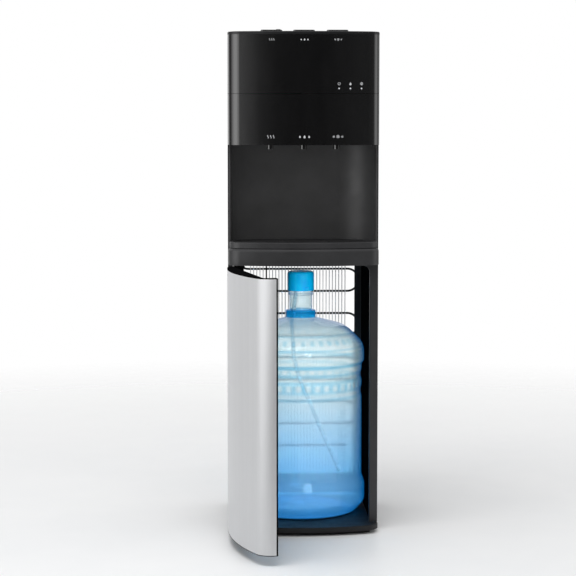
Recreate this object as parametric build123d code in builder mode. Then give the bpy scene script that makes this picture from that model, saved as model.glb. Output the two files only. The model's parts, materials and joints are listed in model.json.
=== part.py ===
"""Floor-standing, bottom-loading water dispenser with its door open and a bottle inside.

Frame: +Z up, -Y is the front, origin on the floor at the middle of the cabinet's footprint.
Units are millimetres.
"""
from build123d import *
import os

os.makedirs("parts", exist_ok=True)

# ---------------------------------------------------------------- driving dimensions
WIDTH = 310.0
HALF = WIDTH / 2
FRONT_Y = -178.0            # foremost point of the bowed front
FRAME_Y = -118.0            # front face of the door frame, rear edge of every front cover
BACK_Y = 160.0              # rear edge of the side panels
FRONT_R = 490.0             # radius of the bow
CORNER_R = 32.0             # radius of the two front corners

BASE_BOTTOM = 8.0
BASE_TOP = 18.0
DOOR_BOTTOM = 19.5
DOOR_TOP = 556.0
FASCIA_BOTTOM = 558.5
FASCIA_TOP = 594.0
RIM_TOP = 606.0
ALCOVE_TOP = 804.0
SEAM = 908.0
COVER_BOTTOM = 1027.0
BODY_TOP = 1033.0

SHEET = 2.5                 # wall of panels and covers
FRAME_DEPTH = 12.0
FRAME_TOP = 562.0
OPENING_HALF = 138.0        # the bottle goes in through this opening
OPENING_TOP = 555.0
SEAM_GAP = 0.6

HINGE_X = -143.0
HINGE_Y = -143.0
PIN_R = 2.5
DOOR_OPEN = 78.2            # how far the door stands open, in degrees
DOOR_INSET = 1.5
SKIN = 1.2

TAP_X = (-68.0, 0.0, 68.0)
BUTTON_X = (-66.0, 0.0, 68.0)
BUTTON_Y = -140.0
BUTTON_LENGTH = 44.0
BUTTON_DEPTH = 28.0
BUTTON_TOP = 1036.5

ALCOVE_BACK = -42.0         # inner face of the alcove's back wall
BAY_R = 76.0

BOTTLE_Y = 10.0
BOTTLE_BASE = 20.0
NECK_TOP = 528.5

TUBE_Y = 172.0              # condenser plane
TUBE_R = 2.4
ROW_PITCH = 49.5
TOP_ROW = 574.0
ROWS = 10
ROW_HALF = 110.0
WIRE_R = 0.8

LOW = (Align.CENTER, Align.CENTER, Align.MIN)
HINGE_AXIS = Axis((HINGE_X, HINGE_Y, 0), (0, 0, 1))


# ---------------------------------------------------------------- helpers
def write_piece(piece, label):
    """Label a finished piece and write it to its own STEP file."""
    piece.part.label = label
    export_step(piece.part, f"parts/{label}.step")


def cabinet_plan(inset, back_y):
    """Plan outline: bowed front, rounded front corners, straight sides and a square back."""
    half = HALF - inset
    front = FRONT_Y + inset
    with BuildSketch() as plan:
        with Locations((0, FRONT_Y + FRONT_R)):
            Circle(FRONT_R - inset)
        with Locations((0, (front + back_y) / 2)):
            Rectangle(2 * half, back_y - front, mode=Mode.INTERSECT)
        fillet(plan.vertices().group_by(Axis.Y)[0], CORNER_R - inset)
    return plan.sketch


def front_band(outer, inner, back_y):
    """Plan of a front shell that is open at the back."""
    with BuildSketch() as band:
        add(cabinet_plan(outer, back_y))
        add(cabinet_plan(inner, back_y + 20), mode=Mode.SUBTRACT)
    return band.sketch


def bay_plan(inset):
    """Plan of the alcove: straight back, large rear corners, open to the front."""
    half = HALF - SHEET - inset
    back = ALCOVE_BACK + SHEET - inset
    front = FRAME_Y
    with BuildSketch() as plan:
        with Locations((0, (front + back) / 2)):
            Rectangle(2 * half, back - front)
        fillet(plan.vertices().group_by(Axis.Y)[-1], BAY_R - inset)
    return plan.sketch


def swing_open(piece):
    """A piece of the closed door, turned about the hinge to where the door stands open."""
    with BuildPart() as opened:
        add(piece.part.rotate(HINGE_AXIS, -DOOR_OPEN))
    return opened


def rounded_can(center, radius, height, edge):
    """Upright cylinder with both rims rounded, standing on its centre point."""
    with BuildPart() as can:
        with Locations(center):
            Cylinder(radius, height, align=LOW)
        fillet(can.edges().filter_by(GeomType.CIRCLE), edge)
    return can.part


def pipe(points, radii, radius):
    """A round pipe along straight runs joined by tangent arcs."""
    with BuildPart() as tube:
        with BuildLine() as route:
            FilletPolyline(*points, radius=radii)
        with BuildSketch(Plane(route.line @ 0, z_dir=route.line % 0)):
            Circle(radius)
        sweep(path=route.line)
    return tube


# ---------------------------------------------------------------- cabinet
def make_base_tray():
    """Moulded base: skirted plate on a recessed plinth ring, with the bottle's seat and a hinge boss."""
    with BuildPart() as base:
        with BuildSketch(Plane.XY.offset(BASE_BOTTOM)):
            add(cabinet_plan(0, BACK_Y))
        extrude(amount=BASE_TOP - BASE_BOTTOM)
        front_edges = base.faces().sort_by(Axis.Z)[-1].edges().filter_by(lambda e: e.center().Y < FRAME_Y)
        chamfer(front_edges, 1.6)
        with BuildSketch(Plane.XY.offset(BASE_BOTTOM)):
            add(cabinet_plan(3, BACK_Y - 3))
        extrude(amount=BASE_TOP - BASE_BOTTOM - 3, mode=Mode.SUBTRACT)
        with BuildSketch():
            add(cabinet_plan(16, BACK_Y - 16))
            add(cabinet_plan(22, BACK_Y - 22), mode=Mode.SUBTRACT)
        extrude(amount=BASE_TOP - 3)
        with BuildSketch(Plane.XY.offset(BASE_TOP)):
            with Locations((0, BOTTLE_Y)):
                Circle(113)
                Circle(99, mode=Mode.SUBTRACT)
        extrude(amount=BOTTLE_BASE - BASE_TOP)
        with Locations((HINGE_X, HINGE_Y, BASE_BOTTOM)):
            Cylinder(6.5, BASE_TOP - BASE_BOTTOM, align=LOW)
            Cylinder(PIN_R, BASE_TOP - BASE_BOTTOM, align=LOW, mode=Mode.SUBTRACT)
    return base


REAR_SCREW_Z = (60, 230, 400, 640, 800, 960)


def rear_screw_places(y):
    """Places along both rear edges where the back covers are screwed to the side panels."""
    return [Location((side * 145.5, y, z), (-90, 0, 0)) for side in (-1, 1) for z in REAR_SCREW_Z]


def make_side_panel(side):
    """Steel side sheet with an inward flange along its rear edge."""
    top = COVER_BOTTOM - 0.5
    with BuildPart() as panel:
        with Locations((side * (HALF - SHEET / 2), (FRAME_Y + BACK_Y) / 2, BASE_TOP)):
            Box(SHEET, BACK_Y - FRAME_Y, top - BASE_TOP, align=LOW)
        with Locations((side * (HALF - SHEET - 7), BACK_Y - 1, BASE_TOP)):
            Box(14, 2, top - BASE_TOP, align=LOW)
        with Locations((side * HALF, FRAME_Y, BASE_TOP)):
            Box(20, 2 * FRAME_DEPTH, FRAME_TOP - BASE_TOP, align=LOW, mode=Mode.SUBTRACT)
        with Locations(*rear_screw_places(BACK_Y)):
            Cylinder(1.5, 12, mode=Mode.SUBTRACT)
    return panel


def make_side_liner(side):
    """Inner wall of the bottle compartment."""
    with BuildPart() as liner:
        with Locations((side * 141, (FRAME_Y + FRAME_DEPTH + 155) / 2, BASE_TOP)):
            Box(2, 155 - FRAME_Y - FRAME_DEPTH, 560 - BASE_TOP, align=LOW)
        with Locations((side * 141, -92, 505)):
            Cylinder(3, 4, rotation=(0, 90, 0), mode=Mode.SUBTRACT)
    return liner


def make_door_frame():
    """Moulded frame round the bottle opening: two legs and a head, with rounded inner top corners."""
    with BuildPart() as frame:
        with BuildSketch(Plane.XZ.offset(-FRAME_Y)):
            with Locations((0, (BASE_TOP + FRAME_TOP) / 2)):
                Rectangle(WIDTH, FRAME_TOP - BASE_TOP)
            with Locations((0, OPENING_TOP - 400)):
                RectangleRounded(2 * OPENING_HALF, 800, 16, mode=Mode.SUBTRACT)
        extrude(amount=-FRAME_DEPTH)
        rim = frame.faces().sort_by(Axis.Y)[0].edges().filter_by(lambda e: abs(e.center().X) < OPENING_HALF + 1)
        chamfer(rim, 1.2)
    return frame


def make_mid_deck():
    """Sheet deck over the bottle compartment, with turned-down edges and a grommet hole."""
    with BuildPart() as deck:
        with Locations((0, (-104 + 158) / 2, 562.5)):
            Box(304, 262, 2, align=LOW)
        with Locations((0, 157, 560)):
            Box(276, 2, 2.5, align=LOW)
        with Locations((-100, 120, 562)):
            Cylinder(7, 10, mode=Mode.SUBTRACT)
    return deck


WINDOW_HALF = 125.0
WINDOW_BOTTOM = 67.0
WINDOW_TOP = 545.0


def make_rear_frame():
    """Lower back sheet with a large window behind the bottle."""
    with BuildPart() as frame:
        with BuildSketch(Plane.XZ.offset(-BACK_Y)):
            with Locations((0, (BASE_TOP + 4 + 556) / 2)):
                Rectangle(306, 556 - BASE_TOP - 4)
            with Locations((0, (WINDOW_BOTTOM + WINDOW_TOP) / 2)):
                RectangleRounded(2 * WINDOW_HALF, WINDOW_TOP - WINDOW_BOTTOM, 14, mode=Mode.SUBTRACT)
        extrude(amount=-1.5)
        with Locations(*rear_screw_places(BACK_Y)):
            Cylinder(1.5, 12, mode=Mode.SUBTRACT)
    return frame


GLAND_X = -110.0
GLAND_Z = 620.0
DRAIN_X = 110.0
DRAIN_Z = 650.0
ROCKER_X = (92.0, 122.0)
ROCKER_Z = 930.0
ROCKER_TILT = 9.0


def make_rear_cover():
    """Upper back sheet with vent slots, switch openings, cord gland and drain holes."""
    with BuildPart() as cover:
        with BuildSketch(Plane.XZ.offset(-BACK_Y)):
            with Locations((0, (558 + COVER_BOTTOM - 1) / 2)):
                Rectangle(306, COVER_BOTTOM - 1 - 558)
            with GridLocations(64, 14, 3, 10):
                with Locations((-20, 770)):
                    SlotOverall(52, 5, mode=Mode.SUBTRACT)
            with Locations(*[(x, ROCKER_Z) for x in ROCKER_X]):
                Rectangle(15, 21, mode=Mode.SUBTRACT)
            with Locations((GLAND_X, GLAND_Z)):
                Circle(8, mode=Mode.SUBTRACT)
            with Locations((DRAIN_X, DRAIN_Z)):
                Circle(11, mode=Mode.SUBTRACT)
        extrude(amount=-1.5)
        with Locations(*rear_screw_places(BACK_Y)):
            Cylinder(1.5, 12, mode=Mode.SUBTRACT)
    return cover


def make_rear_screws():
    """Pan-head screws that hold both back covers."""
    with BuildPart() as screws:
        with Locations(*rear_screw_places(BACK_Y + 1.5)):
            Cylinder(3, 1.8, align=(Align.CENTER, Align.CENTER, Align.MIN))
            Cylinder(1.5, 7, align=(Align.CENTER, Align.CENTER, Align.MAX))
    return screws


# ---------------------------------------------------------------- front covers
def make_fascia():
    """Lower fascia under the drip tray: bowed shell with a rounded top shoulder."""
    with BuildPart() as fascia:
        with BuildSketch(Plane.XY.offset(FASCIA_BOTTOM)):
            add(cabinet_plan(0, FRAME_Y))
        extrude(amount=FASCIA_TOP - FASCIA_BOTTOM)
        shoulder = fascia.faces().sort_by(Axis.Z)[-1].edges().filter_by(lambda e: e.center().Y < FRAME_Y - 1)
        fillet(shoulder, 8)
        with BuildSketch(Plane.XY.offset(FASCIA_BOTTOM + 2.5)):
            add(cabinet_plan(11, FRAME_Y + 5))
        extrude(amount=60, mode=Mode.SUBTRACT)
        with Locations((HINGE_X, HINGE_Y, FASCIA_BOTTOM)):
            Cylinder(6.0, 10, align=LOW)
            Cylinder(PIN_R, 10, align=LOW, mode=Mode.SUBTRACT)
    return fascia


def make_alcove():
    """Alcove liner: concave one-piece wall round the dispensing bay."""
    with BuildPart() as alcove:
        with BuildSketch(Plane.XY.offset(FASCIA_TOP)):
            add(bay_plan(0))
            add(bay_plan(SHEET), mode=Mode.SUBTRACT)
        extrude(amount=ALCOVE_TOP - FASCIA_TOP)
    return alcove


TAP_Y = -122.0


def make_nozzle_plate():
    """Ceiling of the alcove, with a round hole for each spout."""
    with BuildPart() as plate:
        with BuildSketch(Plane.XY.offset(ALCOVE_TOP)):
            add(cabinet_plan(SHEET, FRAME_Y))
            with Locations((0, (FRAME_Y - 1 + ALCOVE_BACK) / 2)):
                Rectangle(2 * (HALF - SHEET), ALCOVE_BACK - FRAME_Y + 1)
            with Locations(*[(x, TAP_Y) for x in TAP_X]):
                Circle(7.5, mode=Mode.SUBTRACT)
        extrude(amount=2.5)
    return plate


def make_lower_front_cover():
    """Lower half of the upper front: bowed shell over the taps."""
    with BuildPart() as cover:
        with BuildSketch(Plane.XY.offset(ALCOVE_TOP)):
            add(front_band(0, SHEET, FRAME_Y))
        extrude(amount=SEAM - SEAM_GAP - ALCOVE_TOP)
    return cover


LIGHT_X = (70.0, 93.0, 116.0)
ICON_Z = 927.5
DOT_Z = 918.0


def make_control_panel():
    """Upper half of the upper front, with windows for the indicator lights."""
    with BuildPart() as panel:
        with BuildSketch(Plane.XY.offset(SEAM)):
            add(front_band(0, SHEET, FRAME_Y))
        extrude(amount=COVER_BOTTOM - SEAM)
        with BuildSketch(Plane.XZ.offset(150)):
            with Locations(*[(x, ICON_Z) for x in LIGHT_X]):
                Circle(4.2)
            with Locations(*[(x, DOT_Z) for x in LIGHT_X]):
                Circle(1.7)
        extrude(amount=40, mode=Mode.SUBTRACT)
    return panel


def make_indicator_lights():
    """Light guides: an icon lens and a status dot for power, hot and cold."""
    with BuildPart() as lights:
        with BuildSketch(Plane.XZ.offset(160)):
            with Locations(*[(x, ICON_Z) for x in LIGHT_X]):
                Circle(4.1)
            with Locations(*[(x, DOT_Z) for x in LIGHT_X]):
                Circle(1.6)
        extrude(amount=30)
        with BuildSketch():
            add(cabinet_plan(0.1, 0))
        extrude(amount=1000, mode=Mode.INTERSECT)
    return lights


def make_top_cover():
    """Top cover with rounded edges and three button wells."""
    with BuildPart() as cover:
        with BuildSketch(Plane.XY.offset(COVER_BOTTOM)):
            add(cabinet_plan(0, BACK_Y + 1.5))
        extrude(amount=BODY_TOP - COVER_BOTTOM)
        rim = cover.faces().sort_by(Axis.Z)[-1].edges()
        fillet(rim, 2.5)
        with BuildSketch(Plane.XY.offset(COVER_BOTTOM)):
            add(cabinet_plan(SHEET, BACK_Y - 2))
        extrude(amount=BODY_TOP - COVER_BOTTOM - SHEET, mode=Mode.SUBTRACT)
        with BuildSketch(Plane.XY.offset(BODY_TOP - SHEET)):
            with Locations(*[(x, BUTTON_Y) for x in BUTTON_X]):
                RectangleRounded(BUTTON_LENGTH + 1, BUTTON_DEPTH + 1, 6.5)
        extrude(amount=SHEET, mode=Mode.SUBTRACT)
    return cover


# ---------------------------------------------------------------- buttons
SWITCH_TOP = BODY_TOP - 21
STEM_R = 3.0
SWITCH_OFFSET = 13.0
FLANGE_BOTTOM = BODY_TOP - SHEET - 1.6
SPRING_LOW = SWITCH_TOP + 1.4 + 0.5
SPRING_HIGH = FLANGE_BOTTOM - 0.5


def make_button(x, lock_recess):
    """Sprung push button: domed pad with an under-flange and a guide stem."""
    with BuildPart() as button:
        with BuildSketch(Plane.XY.offset(FLANGE_BOTTOM)):
            with Locations((x, BUTTON_Y)):
                RectangleRounded(BUTTON_LENGTH, BUTTON_DEPTH, 6)
        extrude(amount=BUTTON_TOP - FLANGE_BOTTOM)
        fillet(button.faces().sort_by(Axis.Z)[-1].edges(), 2)
        with BuildSketch(Plane.XY.offset(FLANGE_BOTTOM)):
            with Locations((x, BUTTON_Y)):
                RectangleRounded(BUTTON_LENGTH + 4, BUTTON_DEPTH + 4, 7)
        extrude(amount=1.5)
        with Locations((x, BUTTON_Y, SWITCH_TOP + 4.5)):
            Cylinder(STEM_R, FLANGE_BOTTOM - SWITCH_TOP - 4.5, align=LOW)
        with Locations((x + SWITCH_OFFSET, BUTTON_Y, SWITCH_TOP + 10.4)):
            Cylinder(2.2, FLANGE_BOTTOM - SWITCH_TOP - 10.4, align=LOW)
        if lock_recess:
            with Locations((x + 14, BUTTON_Y, BUTTON_TOP - 1.6)):
                Box(9.0, 14, 1.6, align=LOW, mode=Mode.SUBTRACT)
    return button


def make_child_lock():
    """Small slider in the hot button's recess, standing a little proud."""
    with BuildPart() as slider:
        with Locations((BUTTON_X[0] + 14, BUTTON_Y - 2, BUTTON_TOP - 1.5)):
            Box(8.4, 9, 2.7, align=LOW)
        fillet(slider.edges().filter_by(Axis.X).group_by(Axis.Z)[-1], 1)
        with Locations(*[(BUTTON_X[0] + 14, BUTTON_Y - 2 + 2 * i, BUTTON_TOP + 1.2) for i in (-1, 0, 1)]):
            Box(6, 0.6, 0.5, mode=Mode.SUBTRACT)
    return slider


def make_spring(x):
    """Compression spring between the switch board's guide and the button's flange."""
    coil_r = STEM_R + 1.6
    with BuildPart() as spring:
        with BuildLine() as coil:
            Helix(
                pitch=(SPRING_HIGH - SPRING_LOW) / 5,
                height=SPRING_HIGH - SPRING_LOW,
                radius=coil_r,
                center=(x, BUTTON_Y, SPRING_LOW),
            )
        with BuildSketch(Plane(coil.line @ 0, z_dir=coil.line % 0)):
            Circle(0.4)
        sweep(path=coil.line, is_frenet=True)
    return spring


def make_switch_board():
    """Circuit board under the buttons with one guide post and micro switch for each."""
    with BuildPart() as board:
        with Locations((0, BUTTON_Y, SWITCH_TOP - 1.6)):
            Box(200, 30, 1.6, align=LOW)
        with Locations(*[(x, BUTTON_Y, SWITCH_TOP) for x in BUTTON_X]):
            Cylinder(6.5, 1.4, align=LOW)
        with Locations(*[(x + SWITCH_OFFSET, BUTTON_Y, SWITCH_TOP) for x in BUTTON_X]):
            Box(6, 13, 7, align=LOW)
    return board


# ---------------------------------------------------------------- taps
def make_spouts():
    """Three glossy spouts that hang just under the alcove's ceiling."""
    with BuildPart() as spouts:
        with Locations(*[(x, TAP_Y, ALCOVE_TOP - 10) for x in TAP_X]):
            Cylinder(6.5, 30, align=LOW)
        fillet(spouts.faces().group_by(Axis.Z)[0].edges(), 1.5)
        with Locations(*[(x, TAP_Y, ALCOVE_TOP - 10) for x in TAP_X]):
            Cylinder(3.5, 30, align=LOW, mode=Mode.SUBTRACT)
        with Locations(*[(x, TAP_Y, ALCOVE_TOP + 3) for x in TAP_X]):
            Cylinder(9.5, 3, align=LOW)
            Cylinder(3.5, 3, align=LOW, mode=Mode.SUBTRACT)
    return spouts


VALVE_Z = ALCOVE_TOP + 20


def make_valves():
    """Three solenoid valves, each a body with an upright coil and a rear inlet spigot."""
    with BuildPart() as valves:
        with Locations(*[(x, TAP_Y, VALVE_Z) for x in TAP_X]):
            Box(26, 26, 24, align=LOW)
        with Locations(*[(x, TAP_Y, VALVE_Z + 24) for x in TAP_X]):
            Cylinder(11, 26, align=LOW)
        with Locations(*[(x, TAP_Y + 13, VALVE_Z + 12) for x in TAP_X]):
            Cylinder(4, 12, rotation=(-90, 0, 0), align=LOW)
        fillet(valves.faces().group_by(Axis.Z)[-1].edges(), 2)
    return valves


# ---------------------------------------------------------------- drip tray
def tray_plan(inset):
    """Outline of the drip tray: bowed front, and rear corners that follow the alcove."""
    with BuildSketch() as plan:
        add(cabinet_plan(3 + inset, FRAME_Y))
        add(bay_plan(SHEET + 0.5 + inset))
        with Locations((0, FRAME_Y)):
            Rectangle(2 * (HALF - SHEET * 2 - 0.5 - inset), 4)
    return plan.sketch


def make_drip_tray():
    """Lift-out drip tray: thick rim on the fascia and a basin below."""
    with BuildPart() as tray:
        with BuildSketch(Plane.XY.offset(FASCIA_TOP)):
            add(tray_plan(0))
        extrude(amount=RIM_TOP - FASCIA_TOP)
        rim = tray.faces().sort_by(Axis.Z)[-1].edges()
        fillet(rim, 2)
        with BuildSketch(Plane.XY.offset(FASCIA_TOP - 22)):
            add(tray_plan(10))
        extrude(amount=22)
        with BuildSketch(Plane.XY.offset(FASCIA_TOP - 20)):
            add(tray_plan(12))
        extrude(amount=60, mode=Mode.SUBTRACT)
        with BuildSketch(Plane.XY.offset(RIM_TOP - 4)):
            add(tray_plan(7))
        extrude(amount=10, mode=Mode.SUBTRACT)
    return tray


def make_drip_grille():
    """Slotted black grille that drops into the tray's rim."""
    with BuildPart() as grille:
        with BuildSketch(Plane.XY.offset(RIM_TOP - 4)):
            add(tray_plan(7.5))
            with GridLocations(88, 9, 3, 9):
                with Locations((0, -112)):
                    SlotOverall(80, 4, mode=Mode.SUBTRACT)
        extrude(amount=3)
    return grille


# ---------------------------------------------------------------- cold and hot water
COLD_X = 62.0
TANK_Y = 56.0
HOT_X = -82.0
HOT_Y = 70.0


def make_cold_tank():
    """Stainless cold water tank, hollow, with a flanged lid and a bottom outlet."""
    wall = 1.5
    with BuildPart() as tank:
        with Locations((COLD_X, TANK_Y, 836)):
            Cylinder(5, 20, align=LOW)
        add(rounded_can((COLD_X, TANK_Y, 850), 52, 140, 14))
        with Locations((COLD_X, TANK_Y, 986)):
            Cylinder(60, 3, align=LOW)
        add(rounded_can((COLD_X, TANK_Y, 850 + wall), 52 - wall, 140 - 2 * wall, 14 - wall), mode=Mode.SUBTRACT)
        with Locations((COLD_X, TANK_Y, 836)):
            Cylinder(3.5, 20, align=LOW, mode=Mode.SUBTRACT)
    return tank


def make_evaporator():
    """Evaporator pipe wound round the cold tank."""
    with BuildPart() as coil:
        with BuildLine() as route:
            Helix(pitch=24, height=96, radius=55.4, center=(COLD_X, TANK_Y, 876))
        with BuildSketch(Plane(route.line @ 0, z_dir=route.line % 0)):
            Circle(3)
        sweep(path=route.line, is_frenet=True)
    return coil


def make_cold_foam():
    """Foam block round the cold tank and its coil."""
    with BuildPart() as foam:
        with Locations((COLD_X, TANK_Y, 826)):
            Box(150, 150, 160, align=LOW)
        fillet(foam.edges().filter_by(Axis.Z), 12)
        with Locations((COLD_X, TANK_Y, 846)):
            Cylinder(60, 160, align=LOW, mode=Mode.SUBTRACT)
        with Locations((COLD_X, TANK_Y, 820)):
            Cylinder(5.5, 40, align=LOW, mode=Mode.SUBTRACT)
    return foam


def make_hot_tank():
    """Small closed hot tank with an outlet on top and a drain spigot at the back."""
    wall = 2.0
    with BuildPart() as tank:
        with Locations((HOT_X, HOT_Y, 752)):
            Cylinder(5, 20, align=LOW)
        add(rounded_can((HOT_X, HOT_Y, 640), 45, 120, 9))
        add(rounded_can((HOT_X, HOT_Y, 640 + wall), 45 - wall, 120 - 2 * wall, 9 - wall), mode=Mode.SUBTRACT)
        with Locations((HOT_X, HOT_Y, 752)):
            Cylinder(3.5, 20, align=LOW, mode=Mode.SUBTRACT)
    return tank


def make_hot_jacket():
    """Glass-wool jacket in a thin cover round the hot tank."""
    with BuildPart() as jacket:
        with Locations((HOT_X, HOT_Y, 646)):
            Cylinder(60, 108, align=LOW)
        fillet(jacket.faces().group_by(Axis.Z)[-1].edges(), 5)
        with Locations((HOT_X, HOT_Y, 640)):
            Cylinder(48.6, 130, align=LOW, mode=Mode.SUBTRACT)
    return jacket


def make_band_heater():
    """Band heater clamped round the hot tank, with its terminal block."""
    with BuildPart() as heater:
        with Locations((HOT_X, HOT_Y, 668)):
            Cylinder(48, 32, align=LOW)
            Cylinder(45.1, 32, align=LOW, mode=Mode.SUBTRACT)
    return heater


def make_tank_stand():
    """Bent bracket that carries the hot tank on the deck."""
    with BuildPart() as stand:
        with Locations((HOT_X, HOT_Y, 637.5)):
            Box(96, 60, 2.5, align=LOW)
        with Locations((HOT_X - 46.75, HOT_Y, 564.5), (HOT_X + 46.75, HOT_Y, 564.5)):
            Box(2.5, 60, 73, align=LOW)
    return stand


# ---------------------------------------------------------------- refrigeration
COMP_X = 72.0
COMP_Y = 64.0


def make_compressor():
    """Hermetic compressor: welded dome on a foot plate, with its stub pipes."""
    with BuildPart() as compressor:
        with Locations((COMP_X, COMP_Y, 580)):
            Cylinder(62, 118, align=LOW)
        fillet(compressor.faces().group_by(Axis.Z)[-1].edges(), 26)
        fillet(compressor.faces().group_by(Axis.Z)[0].edges(), 10)
        with Locations((COMP_X, COMP_Y, 634)):
            Cylinder(64, 5, align=LOW)
        with Locations((COMP_X, COMP_Y, 578)):
            Box(138, 96, 3, align=LOW)
        with Locations((COMP_X, COMP_Y, 570)):
            with GridLocations(122, 78, 2, 2):
                Cylinder(4.2, 30, align=LOW, mode=Mode.SUBTRACT)
        with Locations((COMP_X - 20, COMP_Y + 30, 690)):
            Cylinder(3, 12, align=LOW)
    return compressor


def make_compressor_mounts():
    """Four rubber grommets between the compressor's foot plate and the deck."""
    with BuildPart() as mounts:
        with Locations((COMP_X, COMP_Y, 564.5)):
            with GridLocations(122, 78, 2, 2):
                Cylinder(7.5, 13.5, align=LOW)
                Cylinder(4, 20, align=LOW)
    return mounts


def make_start_relay():
    """Start relay and overload cover on the compressor's side."""
    with BuildPart() as relay:
        with Locations((COMP_X, COMP_Y - 76, 600)):
            Box(44, 22, 32, align=LOW)
        fillet(relay.edges().filter_by(Axis.Z), 3)
    return relay


def row_z(row):
    """Height of one condenser row, counted from the top."""
    return TOP_ROW - row * ROW_PITCH


def make_condenser_tube():
    """One serpentine tube: straight rows joined by half-round bends at alternate ends."""
    bend = ROW_PITCH / 2
    with BuildPart() as tube:
        with BuildLine() as route:
            for row in range(ROWS):
                z = row_z(row)
                side = -1 if row % 2 == 0 else 1
                Line((-side * ROW_HALF, TUBE_Y, z), (side * ROW_HALF, TUBE_Y, z))
                if row < ROWS - 1:
                    ThreePointArc(
                        (side * ROW_HALF, TUBE_Y, z),
                        (side * (ROW_HALF + bend), TUBE_Y, z - bend),
                        (side * ROW_HALF, TUBE_Y, z - 2 * bend),
                    )
        with BuildSketch(Plane((ROW_HALF, TUBE_Y, TOP_ROW), z_dir=(-1, 0, 0))):
            Circle(TUBE_R)
        sweep(path=route.wires()[0])
    return tube


WIRE_COUNT = 31
WIRE_PITCH = 7.0


def make_condenser_wires():
    """Vertical wires welded to both sides of the condenser tube."""
    low = WINDOW_BOTTOM - 9
    high = TOP_ROW + 12
    with BuildPart() as wires:
        for gap in (-TUBE_R - WIRE_R, TUBE_R + WIRE_R):
            with Locations((0, TUBE_Y + gap, low)):
                with GridLocations(WIRE_PITCH, 1, WIRE_COUNT, 1):
                    Cylinder(WIRE_R, high - low, align=LOW)
    return wires


def make_condenser_brackets():
    """Four straps that hold the condenser off the back covers."""
    front = BACK_Y + 1.5
    depth = TUBE_Y - TUBE_R - 2 * WIRE_R - front
    with BuildPart() as brackets:
        for side in (-1, 1):
            with Locations((side * 120, front + depth / 2, 62), (side * 120, front + depth / 2, 580)):
                Box(40, depth, 10)
    return brackets


def make_riser():
    """Suction riser: thin tube up the back, left of the middle, from the drier below the window."""
    y = 165.0
    return pipe([(20, y, 48), (-40, y, 48), (-70, y, 78), (-70, y, 560)], [18, 18], 1.6)


def make_drier():
    """Filter drier lying along the bottom of the back."""
    with BuildPart() as drier:
        with Locations((66, 171, 48)):
            Cylinder(8, 70, rotation=(0, 90, 0))
        with Locations((112, 171, 48), (20.5, 171, 48)):
            Cylinder(2.4, 30, rotation=(0, 90, 0))
        fillet(drier.edges().filter_by(GeomType.CIRCLE).filter_by(lambda e: e.radius > 7), 3)
    return drier


# ---------------------------------------------------------------- pump, hoses, electrics
def make_pump():
    """Diaphragm pump: motor can and head on a foot, lying on the deck."""
    with BuildPart() as pump:
        with Locations((-38, 124, 592)):
            Cylinder(17, 62, rotation=(0, 90, 0))
        with Locations((-80, 124, 592)):
            Box(22, 40, 40)
        with Locations((-48, 124, 564.5)):
            Box(80, 34, 4, align=LOW)
        with Locations((-44, 124, 568)):
            Box(50, 6, 10, align=LOW)
        with Locations((-80, 124, 612)):
            Cylinder(4, 10, align=LOW)
    return pump


def make_control_board():
    """Main control board on the divider: transformer, relays and connectors."""
    with BuildPart() as board:
        with Locations((-60, -36.5, 850)):
            Box(120, 1.6, 90, align=LOW)
        with Locations((-95, -27, 862)):
            Box(30, 17.4, 30, align=LOW)
        with Locations((-42.5, -28, 872)):
            with GridLocations(25, 1, 2, 1):
                Box(16, 15.4, 20, align=LOW)
        with Locations((-42.5, -28, 910)):
            with GridLocations(25, 1, 2, 1):
                Box(16, 15.4, 20, align=LOW)
    return board


def make_cord_gland():
    """Bushing for the mains lead in the upper back cover."""
    with BuildPart() as gland:
        with Locations((GLAND_X, BACK_Y + 1.5, GLAND_Z)):
            Cylinder(11, 6, rotation=(-90, 0, 0), align=LOW)
        with Locations((GLAND_X, BACK_Y - 6, GLAND_Z)):
            Cylinder(8, 8, rotation=(-90, 0, 0), align=LOW)
        with Locations((GLAND_X, BACK_Y, GLAND_Z)):
            Cylinder(4, 40, rotation=(-90, 0, 0), mode=Mode.SUBTRACT)
    return gland


def make_rocker(x):
    """Rocker switch key with a shallow V front and a round pivot body."""
    with BuildPart() as rocker:
        with BuildSketch(Plane.YZ.offset(x - 6)):
            with BuildLine():
                Polyline(
                    (BACK_Y + 2, ROCKER_Z - 8.5),
                    (BACK_Y + 5.4, ROCKER_Z - 8.5),
                    (BACK_Y + 4, ROCKER_Z),
                    (BACK_Y + 5.4, ROCKER_Z + 8.5),
                    (BACK_Y + 2, ROCKER_Z + 8.5),
                    (BACK_Y - 6, ROCKER_Z),
                    close=True,
                )
            make_face()
        extrude(amount=12)
    with BuildPart() as tilted:
        add(rocker.part.rotate(Axis((x, BACK_Y - 3, ROCKER_Z), (1, 0, 0)), ROCKER_TILT))
    return tilted


def make_switch_bodies():
    """Snap-in bodies of the two rocker switches, each with a bezel outside the back cover."""
    with BuildPart() as bodies:
        for x in ROCKER_X:
            with Locations((x, BACK_Y - 8.25, ROCKER_Z)):
                Box(14.6, 19.5, 20.6)
            with Locations((x, BACK_Y + 2.25, ROCKER_Z)):
                Box(19, 1.5, 25)
            with Locations((x, BACK_Y - 2, ROCKER_Z)):
                Box(12.6, 16, 20, mode=Mode.SUBTRACT)
            with Locations((x, BACK_Y - 22, ROCKER_Z - 6), (x, BACK_Y - 22, ROCKER_Z + 6)):
                Box(6, 8, 0.8)
    return bodies


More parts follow.
